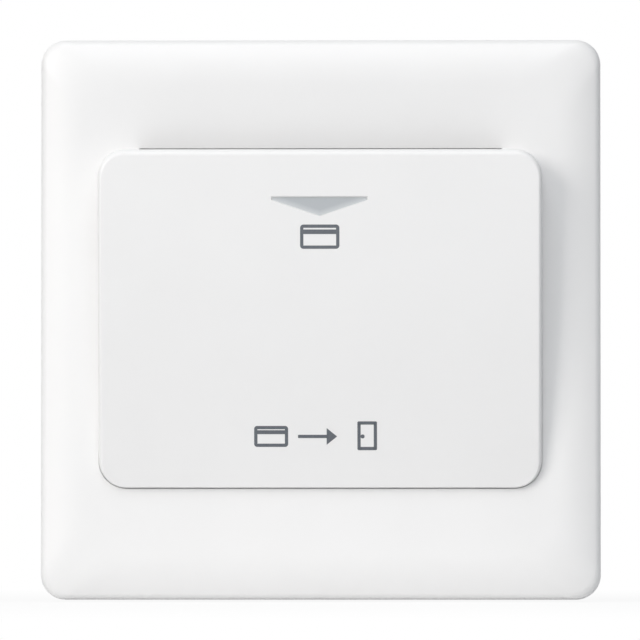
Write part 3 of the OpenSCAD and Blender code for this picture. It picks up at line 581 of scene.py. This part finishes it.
makeCamera()
makeLight()
makeFloor()
bpy.context.scene.view_settings.view_transform = "Standard"
print("camera and light set")

# Face plate: rings from the inner flat over the rim to the front flat
plate = {"side": 86 * mm, "depth": 8.5 * mm, "wall": 2 * mm, "cornerR": 3.8 * mm, "flatR": 7 * mm,
         "slopeW": 6.8 * mm, "slopeAngle": math.radians(24), "rollR": 1.6 * mm, "rollRows": 7,
         "slopeRows": 10, "seatDepth": 0.6 * mm, "seatGap": (0.07 * mm, 0.15 * mm), "windowW": 55.6 * mm,
         "windowZ": (-21.35 * mm, 26.25 * mm), "cutTo": -5.5 * mm,
         "screwX": 30.575 * mm, "screwZ": (16.85 * mm, -9.85 * mm), "screwHole": 1.1 * mm,
         "lugX": 14 * mm, "lugZ": 36 * mm, "lugSize": (8 * mm, 1.8 * mm), "lugEnd": -0.12 * mm,
         "notchW": 8 * mm, "notchD": 1.6 * mm, "notchH": 3 * mm}
cover = {"width": 67.9 * mm, "height": 51.7 * mm, "cornerR": 4.2 * mm, "top": 6.5 * mm, "foot": 0.8 * mm,
         "wall": 2 * mm, "fillet": 1 * mm, "filletRows": 6, "sideCuts": 30,
         "reach": (0.65, 1, 0.15),  # share of the fillet that goes in at the sides, the mouth and the foot
         "lowFillet": 0.8,  # and its most, as a share of the cover's height there
         "pocketWall": 1.4 * mm, "bossR": 2.2 * mm, "bossUnder": 1 * mm, "pilotR": 1.05 * mm,
         "pilotDepth": 2.7 * mm, "ribX": 9 * mm, "ribT": 1.4 * mm, "ribBack": -6.9 * mm,
         "ribTop": -7.3 * mm, "ribGap": 0.12 * mm, "ribLead": 2 * mm}
plateFront = -plate["depth"]
coverBase = plateFront + plate["seatDepth"]


def plateProfile():
    angle, roll, slope = plate["slopeAngle"], plate["rollR"], plate["slopeW"]
    arc = (slope - roll * (1 - math.sin(angle))) / math.sin(angle)
    edge = plate["depth"] - arc * (1 - math.cos(angle)) - roll * math.cos(angle)
    wall = plate["wall"]
    rows = [(slope + wall / 2, plateFront + wall), (wall, -edge), (wall, 0), (0, 0)]
    for i in range(plate["rollRows"] + 1):
        a = math.pi / 2 - (math.pi / 2 - angle) * i / plate["rollRows"]
        rows.append((roll * (1 - math.sin(a)), -edge - roll * math.cos(a)))
    for i in range(1, plate["slopeRows"] + 1):
        a = angle * (1 - i / plate["slopeRows"])
        rows.append((slope - arc * math.sin(a), plateFront + arc * (1 - math.cos(a))))
    return rows


def makePlate():
    rings = []
    for inset, y in plateProfile():
        side = plate["side"] - 2 * inset
        radius = plate["cornerR"] + (plate["flatR"] - plate["cornerR"]) * inset / plate["slopeW"]
        rings.append(roundedFace(side, side, radius, y))
    count = len(rings[0].data.vertices)
    shell = bridgeRings(rings, "facePlate")
    for ring in (0, len(rings) - 1):  # close the inner and the front flat
        chooseEdges(shell, lambda a, b, p, q: a // count == b // count == ring)
        bpy.ops.mesh.edge_face_add()
    bpy.ops.mesh.select_all(action="SELECT")
    bpy.ops.mesh.normals_make_consistent(inside=False)
    leaveEdit()
    w, t = plate["lugSize"]
    for x in (-plate["lugX"], plate["lugX"]):
        for z in (-plate["lugZ"], plate["lugZ"]):
            root = plateFront + plate["wall"] / 2
            lug = blockAt((x - w / 2, root, z - t / 2), (x + w / 2, plate["lugEnd"], z + t / 2))
            carve(shell, lug, "UNION")
    side, gap = plate["seatGap"]
    before = plateFront - bench["over"]
    seat = roundedPrism(cover["width"] + 2 * side, cover["height"] + 2 * gap, cover["cornerR"] + side,
                        before, coverBase)
    carve(shell, seat)
    half = plate["windowW"] / 2
    z0, z1 = plate["windowZ"]
    carve(shell, blockAt((-half, before, z0), (half, plate["cutTo"], z1)))
    for x in (-plate["screwX"], plate["screwX"]):
        for z in plate["screwZ"]:
            carve(shell, rodY(before, plate["cutTo"], x, z, plate["screwHole"]))
    w = plate["notchW"] / 2
    carve(shell, blockAt((-w, -plate["notchD"], -plate["side"]),
                         (w, bench["over"], -plate["side"] / 2 + plate["notchH"])))
    smoothFlats(shell, 28)
    place(shell, "face_plate", whitePlastic)


makePlate()
print("face plate done")

# Card cover: its front is an arc about a level axis, upright at the top edge
coverRise = cover["top"] - cover["foot"]
coverTopZ = cover["height"] / 2
coverArc = (cover["height"] ** 2 + coverRise ** 2) / (2 * coverRise)
coverAxisY = plateFront - cover["top"] + coverArc


def faceY(z):
    return coverAxisY - math.sqrt(coverArc ** 2 - (coverTopZ - z) ** 2)


def coverRing(inset, rise):
    side, mouth, foot = [inset * share for share in cover["reach"]]
    ring = roundedFace(cover["width"] - 2 * side, cover["height"] - mouth - foot, cover["cornerR"] - side, 0,
                       (foot - mouth) / 2)
    enterEdit(ring)
    bpy.ops.mesh.delete(type="ONLY_FACE")  # a face would be cut across with its edges
    chooseEdges(ring, lambda a, b, p, q: abs(p.x - q.x) < bench["same"]
                and abs(p.z - q.z) > cover["height"] / 2)
    bpy.ops.mesh.subdivide(number_cuts=cover["sideCuts"])
    leaveEdit()
    for v in ring.data.vertices:
        if rise is None:
            v.co.y = coverBase
        else:
            rounding = min(cover["fillet"], cover["lowFillet"] * (plateFront - faceY(v.co.z)))
            v.co.y = faceY(v.co.z) + rounding * (1 - rise)
    return ring


farFront = -20 * mm  # well before the cover


# A block whose front follows the cover's face at a depth
def wedge(x0, x1, z0, z1, depth, back, cuts=20):
    block = blockAt((x0, farFront, z0), (x1, back, z1))
    chooseEdges(block, lambda a, b, p, q: abs(p.z - q.z) > bench["same"])
    bpy.ops.mesh.subdivide(number_cuts=cuts)
    leaveEdit()
    for v in block.data.vertices:
        if v.co.y < farFront / 2:
            v.co.y = faceY(min(v.co.z, coverTopZ)) + depth
    return block


# core is the lens's own grey; edge is a lighter grey painted along its slanted edges, a painted highlight
# standing in for the light its rim catches
arrow = {"width": 14.5 * mm, "height": 2.8 * mm, "end": 0.4 * mm, "top": 18.45 * mm, "rim": 0.15 * mm,
         "recess": 0.2 * mm, "gap": 0.01 * mm, "root": 0.1 * mm, "flangeRim": 1.5 * mm, "flangeT": 0.8 * mm,
         "flangeGap": 0.02 * mm, "fade": 0.9 * mm,
         "core": (0.525, 0.555, 0.578), "edge": (0.71, 0.735, 0.75)}


def arrowPoints(grow):
    w, top = arrow["width"] / 2 + grow, arrow["top"] + grow
    return [(-w, top), (w, top), (w, arrow["top"] - arrow["end"]),
            (0, arrow["top"] - arrow["height"] - grow), (-w, arrow["top"] - arrow["end"])]


# Prism of the arrow: a five-sided circle drawn to its points, extruded back and tapered
def arrowPrism(frontY, backY, frontGrow, backGrow):
    clearSelection()
    front, back = arrowPoints(frontGrow), arrowPoints(backGrow)
    bpy.ops.mesh.primitive_circle_add(vertices=len(front), radius=arrow["width"] / 2, fill_type="NGON",
                                      rotation=(math.pi / 2, 0, 0))
    prism = bpy.context.object
    settle(prism)
    corners = prism.data.polygons[0].vertices
    for v, (x, z) in zip(corners, front):
        prism.data.vertices[v].co = (x, frontY, z)
    enterEdit(prism, "FACE")
    bpy.ops.mesh.extrude_region_move(TRANSFORM_OT_translate={"value": (0, backY - frontY, 0)})
    leaveEdit()
    for v in prism.data.vertices:
        if v.co.y > (frontY + backY) / 2:
            away = [math.hypot(v.co.x - x, v.co.z - z) for x, z in front]
            v.co.x, v.co.z = back[away.index(min(away))]
    enterEdit(prism)
    bpy.ops.mesh.normals_make_consistent(inside=False)
    leaveEdit()
    return prism


def makeCover():
    rings = [coverRing(0, None)]
    for i in range(cover["filletRows"] + 1):
        a = math.pi / 2 * i / cover["filletRows"]
        rings.append(coverRing(cover["fillet"] * (1 - math.cos(a)), math.sin(a)))
    count = len(rings[0].data.vertices)
    shell = bridgeRings(rings, "cardCover")
    for ring in (0, len(rings) - 1):  # strips from the left half to the right half
        chooseEdges(shell, lambda a, b, p, q: a // count == b // count == ring and p.x * q.x > 0)
        bpy.ops.mesh.bridge_edge_loops()
    enterEdit(shell)
    bpy.ops.mesh.normals_make_consistent(inside=False)
    leaveEdit()
    half = plate["windowW"] / 2
    floorZ = plate["windowZ"][0]
    over = bench["over"]
    carve(shell, wedge(-half, half, floorZ, coverTopZ + over, cover["wall"], coverBase + over))
    inner, outer = half + cover["pocketWall"], cover["width"] / 2 - cover["wall"]
    for x0, x1 in ((-outer, -inner), (inner, outer)):
        carve(shell, wedge(x0, x1, floorZ, coverTopZ - cover["wall"], cover["wall"], coverBase + over))
    for x in (-plate["screwX"], plate["screwX"]):
        for z in plate["screwZ"]:
            carve(shell, rodY(faceY(z) + cover["bossUnder"], coverBase, x, z, cover["bossR"]), "UNION")
            carve(shell, rodY(plateFront - cover["pilotDepth"], coverBase + over, x, z, cover["pilotR"]))
    for x in (-cover["ribX"], cover["ribX"]):
        t = cover["ribT"] / 2
        rib = wedge(x - t, x + t, floorZ + cover["ribGap"], cover["ribTop"], cover["wall"] / 2,
                    cover["ribBack"], 8)
        for v in rib.data.vertices:  # lead-in for the card
            if v.co.z > cover["ribTop"] - bench["same"] and v.co.y > cover["ribBack"] - bench["same"]:
                v.co.y = plateFront - cover["ribLead"]
        carve(shell, rib, "UNION")
    mid = faceY(arrow["top"] - arrow["height"] / 2)
    flare = 1 + over / arrow["recess"]  # the recess widens on, up to the cutter's front
    carve(shell, arrowPrism(mid - over, mid + arrow["recess"], arrow["rim"] * flare, 0))
    carve(shell, arrowPrism(mid - over, plateFront, 0, 0))
    smoothFlats(shell, 28)
    place(shell, "card_cover", whitePlastic)


makeCover()
print("card cover done")


def makeLens():
    mid = faceY(arrow["top"] - arrow["height"] / 2)
    gap = arrow["gap"]
    lens = arrowPrism(mid + arrow["recess"], mid + cover["wall"] + arrow["root"], -gap, -gap)
    w, h = arrow["width"] / 2 + arrow["flangeRim"], arrow["height"] / 2 + arrow["flangeRim"]
    middle = arrow["top"] - arrow["height"] / 2
    flange = wedge(-w, w, middle - h, middle + h, cover["wall"] + arrow["flangeGap"], 0, 6)
    for v in flange.data.vertices:  # the back follows the face too
        if v.co.y > -bench["same"]:
            v.co.y = faceY(v.co.z) + cover["wall"] + arrow["flangeT"]
    carve(lens, flange, "UNION")
    lens.name = "arrowLens"
    smooth(lens, 30)
    place(lens, "arrow_lens", lensPlastic())


makeLens()
print("arrow lens done")

# Printed signs on the cover: plain pictograms, laid on the curved face
ink = {"lift": 0.015 * mm, "thick": 1.6, "line": 0.5 * mm, "corner": 0.1 * mm, "barb": 0.8}  # thick in lifts
cards = [{"size": (6.0 * mm, 3.7 * mm), "corner": 0.5 * mm, "x": 0, "z": 12.45 * mm,
          "stripe": (5.4 * mm, 0.7 * mm), "stripeUp": 0.75 * mm},
         {"size": (5.2 * mm, 3.2 * mm), "corner": 0.45 * mm, "x": -7.5 * mm, "z": -18 * mm,
          "stripe": (4.6 * mm, 0.6 * mm), "stripeUp": 0.65 * mm}]
signArrow = {"length": 5.2 * mm, "head": 1.6 * mm, "x": 0, "z": -18 * mm}
door = {"size": (3.0 * mm, 4.4 * mm), "corner": 0.2 * mm, "x": 7.2 * mm, "z": -17.9 * mm,
        "knob": 0.6 * mm, "knobCorner": 0.25 * mm, "knobX": 6.5 * mm, "knobZ": -18 * mm}


def inkOutline(spec):
    sign = roundedFace(*spec["size"], spec["corner"], 0, spec["z"], 6)
    enterEdit(sign, "FACE")
    bpy.ops.mesh.inset(thickness=ink["line"])
    bpy.ops.mesh.delete(type="FACE")
    leaveEdit()
    sign.location.x = spec["x"]
    settle(sign)
    return sign


def inkBar(width, height, x, z, radius):
    bar = roundedFace(width, height, radius, 0, z, 4)
    bar.location.x = x
    settle(bar)
    return bar


def inkArrow(spec):
    length, head, x, z = spec["length"], spec["head"], spec["x"], spec["z"]
    shaft = inkBar(length, ink["line"], x - head / 2, z, ink["corner"])
    clearSelection()
    bpy.ops.mesh.primitive_circle_add(vertices=3, radius=head, fill_type="NGON",
                                      rotation=(math.pi / 2, 0, 0))
    tip = bpy.context.object
    settle(tip)
    barb = head * ink["barb"]
    for v, (px, pz) in zip(tip.data.vertices, [(head, 0), (0, barb), (0, -barb)]):
        v.co = (x + length / 2 - head + px, 0, z + pz)
    enterEdit(tip)
    bpy.ops.mesh.normals_make_consistent(inside=False)
    leaveEdit()
    return [shaft, tip]


def printSigns():
    parts = []
    for card in cards:
        parts.append(inkOutline(card))
        parts.append(inkBar(*card["stripe"], card["x"], card["z"] + card["stripeUp"], ink["corner"]))
    parts += inkArrow(signArrow)
    parts.append(inkOutline(door))
    parts.append(inkBar(door["knob"], door["knob"], door["knobX"], door["knobZ"], door["knobCorner"]))
    signs = joinAll(parts, "coverSigns")
    enterEdit(signs)
    bpy.ops.mesh.subdivide(number_cuts=1)
    leaveEdit()
    for v in signs.data.vertices:
        v.co.y = faceY(v.co.z) - ink["lift"]
    enterEdit(signs)
    bpy.ops.mesh.extrude_region_move(TRANSFORM_OT_translate={"value": (0, ink["lift"] * ink["thick"], 0)})
    bpy.ops.mesh.select_all(action="SELECT")
    bpy.ops.mesh.normals_make_consistent(inside=False)
    leaveEdit()
    signs.data.materials.append(printInk())
    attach(signs, "front")


printSigns()
print("signs printed")

# Pan-head screws: a profile spun round, with a cross recess; sizes in mm
screws = {
    "cover_screws": {"name": "coverScrews",
                     "at": [(x, z) for x in (-30.575, 30.575) for z in (16.85, -9.85)],
                     "seat": -6.5, "tip": -11.1, "r": 1.0, "headR": 1.8, "headH": 1.3},
    "assembly_screws": {"name": "assemblyScrews",
                        "at": [(x, z) for x in (-16, 16) for z in (29.35, -28.7)],
                        "seat": 2.4, "tip": -4.6, "r": 1.3, "headR": 2.5, "headH": 1.7},
    "terminal_screws": {"name": "terminalScrews", "at": [(-16, -14.5), (16, -14.5)],
                        "seat": 21.9355, "tip": 18.6355, "r": 1.5, "headR": 2.7, "headH": 2.0},
    "board_screws": {"name": "boardScrews", "at": [(-12.3, 20.55), (12.3, 20.55)],
                     "seat": 3.6, "tip": -2.3, "r": 1.0, "headR": 1.8, "headH": 1.3},
    "switch_screws": {"name": "switchScrews", "at": [(0, 9.5), (0, -20.1)],
                      "seat": 17.1355, "tip": 22.6355, "r": 1.3, "headR": 2.5, "headH": 1.7},
}
screwThread = {"core": 0.86, "pitch": 0.5, "point": 0.7, "pointL": 0.4, "plain": 0.9, "root": 0.08,
               "crest": (0.45, 0.6), "end": 0.95, "neck": 0.05}
screwHead = {"under": 0.96, "chamfer": 0.1, "edge": 0.42, "crown": 0.55,  # shares of its radius and height
             "crossL": 0.58, "crossW": 0.13, "crossD": 0.6, "rows": 6, "steps": 28}


def screwProfile(spec):
    towards = 1 if spec["tip"] < spec["seat"] else -1  # the head's side along Y
    r, headR, headH = spec["r"], spec["headR"], spec["headH"]
    core, pitch = r * screwThread["core"], screwThread["pitch"]
    length = abs(spec["seat"] - spec["tip"])
    rows = [(0, -length), (core * screwThread["point"], -length), (core, -length + screwThread["pointL"])]
    rise, fall = screwThread["crest"]
    for i in range(int((length - screwThread["plain"]) / pitch)):
        y = -length + screwThread["pointL"] + pitch * i
        rows += [(core, y + screwThread["root"]), (r, y + pitch * rise), (r, y + pitch * fall),
                 (core, y + pitch * screwThread["end"])]
    rows += [(core, -screwThread["neck"]), (core, 0), (headR * screwHead["under"], 0)]
    rows += [(headR, headH * screwHead["chamfer"]), (headR, headH * screwHead["edge"])]
    for i in range(1, screwHead["rows"] + 1):
        a = math.pi / 2 * i / screwHead["rows"]
        crown, edge = screwHead["crown"], screwHead["edge"]
        rows.append((headR * (crown + (1 - crown) * math.cos(a)), headH * (edge + (1 - edge) * math.sin(a))))
    rows.append((0, headH))
    return [(x * mm, towards * y * mm) for x, y in rows], towards


def makeScrew(spec):
    rows, towards = screwProfile(spec)
    clearSelection()
    bpy.ops.mesh.primitive_plane_add(size=1 * mm)
    screw = bpy.context.object
    enterEdit(screw)
    bpy.ops.mesh.merge(type="CENTER")
    leaveEdit()
    screw.data.vertices[0].co = (rows[0][0], rows[0][1], 0)
    enterEdit(screw)
    for before, after in zip(rows, rows[1:]):  # draw the profile point by point
        step = (after[0] - before[0], after[1] - before[1], 0)
        bpy.ops.mesh.extrude_region_move(TRANSFORM_OT_translate={"value": step})
    bpy.ops.mesh.select_all(action="SELECT")
    bpy.ops.mesh.spin(steps=screwHead["steps"], angle=2 * math.pi, center=(0, 0, 0), axis=(0, 1, 0))
    bpy.ops.mesh.select_all(action="SELECT")
    bpy.ops.mesh.remove_doubles(threshold=bench["weld"])
    bpy.ops.mesh.normals_make_consistent(inside=False)
    leaveEdit()
    arm, thick = spec["headR"] * screwHead["crossL"] * mm, spec["headR"] * screwHead["crossW"] * mm
    depth = spec["headH"] * screwHead["crossD"] * mm
    top = towards * spec["headH"] * mm
    low, high = sorted((top - towards * depth, top + towards * bench["over"]))
    for x, z in ((arm, thick), (thick, arm)):
        carve(screw, blockAt((-x, low, -z), (x, high, z)))
    return screw


def makeScrews():
    for node, spec in screws.items():
        master = makeScrew(spec)
        copies = []
        for x, z in spec["at"]:
            copy = master.copy()
            copy.data = master.data.copy()
            bpy.context.scene.collection.objects.link(copy)
            copy.location = (x * mm, spec["seat"] * mm, z * mm)
            copies.append(copy)
        bpy.data.objects.remove(master)
        group = joinAll(copies, spec["name"])
        smooth(group, 35)
        place(group, node, screwSteel)


makeScrews()
print("screws done")

# Moulded and stamped pieces keep their solids' shape and get soft edges
soft = {
    "mounting_frame": ("mountingFrame", zincSheet(), 0.1),
    "card_guide": ("cardGuide", guideWhite, 0.12),
    "card_lever": ("cardLever", leverPlastic, 0.15),
    "lamp_window": ("lampWindow", clearPlastic(), 0.1),
    "switch_case": ("switchCase", switchPlastic, 0.2),
    "switch_lid": ("switchLid", switchPlastic, 0.12),
    "contact_blade": ("contactBlade", brassMetal, 0.08),
    "common_terminal": ("commonTerminal", brassMetal, 0.08),
    "open_terminal": ("openTerminal", brassMetal, 0.08),
    "closed_terminal": ("closedTerminal", brassMetal, 0.08),
    "line_clamp": ("lineClamp", brassMetal, 0.2),
    "load_clamp": ("loadClamp", brassMetal, 0.2),
    "circuit_board": ("circuitBoard", boardLaminate(), 0.06),
    "dropper_capacitor": ("dropperCapacitor", capacitorShell, 0.4),
    "lever_pin": ("leverPin", screwSteel, 0.12),
}
fine = {  # with edges too short for a free bevel
    "switch_plunger": ("switchPlunger", plungerPlastic, 0.1),
    "resistors": ("resistorPair", axialFinish("resistorLacquer"), 0.2),
    "rectifier_diode": ("rectifierDiode", axialFinish("diodeShell"), 0.15),
    "led": ("locatorLamp", ledPlastic(), 0.1),
}
housing = {"cornerR": 2 * mm, "rearEdge": 0.5 * mm, "rearRows": 3, "edge": 0.2 * mm, "onLine": 0.01 * mm}


def makeSoftened():
    for group, clamped in ((soft, False), (fine, True)):
        for node, (name, finish, width) in group.items():
            piece = mergedCopy(node, name)
            softenEdges(piece, width * mm, clamped)
            place(piece, node, finish)


# The housing's rear edge is rounded wider than the rest
def makeHousing():
    box = mergedCopy("rear_housing", "rearHousing")
    rear = max(v.co.y for v in box.data.vertices)
    atRear = [v.co for v in box.data.vertices if v.co.y > rear - bench["weld"]]
    halfX = max(p.x for p in atRear) - housing["cornerR"]
    low, high = min(p.z for p in atRear), max(p.z for p in atRear)
    halfZ = (high - low) / 2 - housing["cornerR"]

    def onOutline(p):
        x, z = max(abs(p.x) - halfX, 0), max(abs(p.z - (low + high) / 2) - halfZ, 0)
        return p.y > rear - bench["weld"] and abs(math.hypot(x, z) - housing["cornerR"]) < housing["onLine"]

    chooseEdges(box, lambda a, b, p, q: onOutline(p) and onOutline(q))
    bpy.ops.mesh.bevel(offset=housing["rearEdge"], segments=housing["rearRows"])
    leaveEdit()
    softenEdges(box, housing["edge"], True)
    enterEdit(box)
    bpy.ops.mesh.dissolve_degenerate(threshold=bench["sliver"])  # at the wire entries
    leaveEdit()
    place(box, "rear_housing", housingPlastic)


makeSoftened()
makeHousing()
print("moulded and stamped pieces done")

# Springs and leads: one smooth curve each, made a mesh; sizes in mm
coil = {"x": 2.95, "pitch": 0.95, "r": 1.85, "wire": 0.25, "turns": 4, "lastTurn": 60, "pivot": (1.5, 2.0),
        "legZ": -6.5, "legRows": 6, "armRows": 4, "armY": -3.5, "armGap": 0.12}
contactCoil = {"r": 1.55, "wire": 0.225, "turns": 5, "from": 11.615, "to": 18.3105, "z": -5.0,
               "keep": 0.73}
leads = {"r": 0.6, "left": [(-6.95, 7.55, -13), (-9, 6.65, -9), (-13, 7.5, -3), (-13, 6.6, 4),
                            (-13, 6.6, 9.85), (-13, 5.2, 12.25), (-13, 3.6, 12.25)],
         "right": [(6.95, 15.6355, -13), (7.6, 13.7355, -9), (13, 9.5, -1), (13, 7.6, 4), (13, 6.6, 9.85),
                   (13, 5.2, 12.25), (13, 3.6, 12.25)]}
turnStep = 10  # degrees between the points of a coil
perTurn = 360 // turnStep


def wireAlong(points, radius, name, kind="POLY"):
    data = bpy.data.curves.new(name, "CURVE")
    data.dimensions = "3D"
    data.bevel_depth = radius * mm
    data.bevel_resolution = 4
    data.use_fill_caps = True
    spline = data.splines.new(kind)
    spline.points.add(len(points) - 1)
    for point, at in zip(spline.points, points):
        point.co = (at[0] * mm, at[1] * mm, at[2] * mm, 1)
    if kind == "NURBS":
        spline.use_endpoint_u = True
        spline.order_u = 3
        spline.resolution_u = 10
    wireObject = bpy.data.objects.new(name, data)
    bpy.context.scene.collection.objects.link(wireObject)
    pick(wireObject)
    bpy.ops.object.convert(target="MESH")
    made = bpy.context.object
    enterEdit(made)
    bpy.ops.mesh.remove_doubles(threshold=bench["weld"])
    bpy.ops.mesh.normals_make_consistent(inside=False)
    leaveEdit()
    smooth(made, 50)
    return made


# A leg behind the lever, the turns round its pin, and an arm to the fixed side
def makeTorsionSpring():
    py, pz = coil["pivot"]
    r, legZ = coil["r"], coil["legZ"]
    points = [(coil["x"], py + r, legZ + i * (pz - legZ) / coil["legRows"]) for i in range(coil["legRows"])]
    end = 360 * coil["turns"] + coil["lastTurn"]
    for i in range(end // turnStep + 1):
        a = math.radians(turnStep * i)
        points.append((coil["x"] + coil["pitch"] * i / perTurn, py + r * math.cos(a), pz + r * math.sin(a)))
    a = math.radians(end)
    x, y, z = points[-1]
    arm = (y - coil["armY"] - coil["wire"] - coil["armGap"]) / math.sin(a)
    for i in range(1, coil["armRows"] + 1):
        along = arm * i / coil["armRows"]
        points.append((x, y - along * math.sin(a), z + along * math.cos(a)))
    torsion = wireAlong(points, coil["wire"], "leverSpring")
    dress(torsion, "lever_spring", springSteel)
    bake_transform(torsion)


def makeContactSpring():
    r, start, end, z = [contactCoil[key] for key in ("r", "from", "to", "z")]
    steps = perTurn * contactCoil["turns"]
    points = []
    for i in range(steps + 1):
        a = math.radians(turnStep * i)
        points.append((r * math.cos(a), start + (end - start) * i / steps, z + r * math.sin(a)))
    push = wireAlong(points, contactCoil["wire"], "contactSpring")
    place(push, "contact_spring", springSteel)
    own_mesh(push)


def makeLeads():
    pair = [wireAlong(leads[side], leads["r"], side + "Lead", "NURBS") for side in ("left", "right")]
    place(joinAll(pair, "lampLeads"), "lamp_leads", leadSleeve)


makeTorsionSpring()
makeContactSpring()
makeLeads()
print("springs and leads done")

for node, obj in nodes.items():
    if not obj.hide_render:
        print("still shown as CAD:", node)
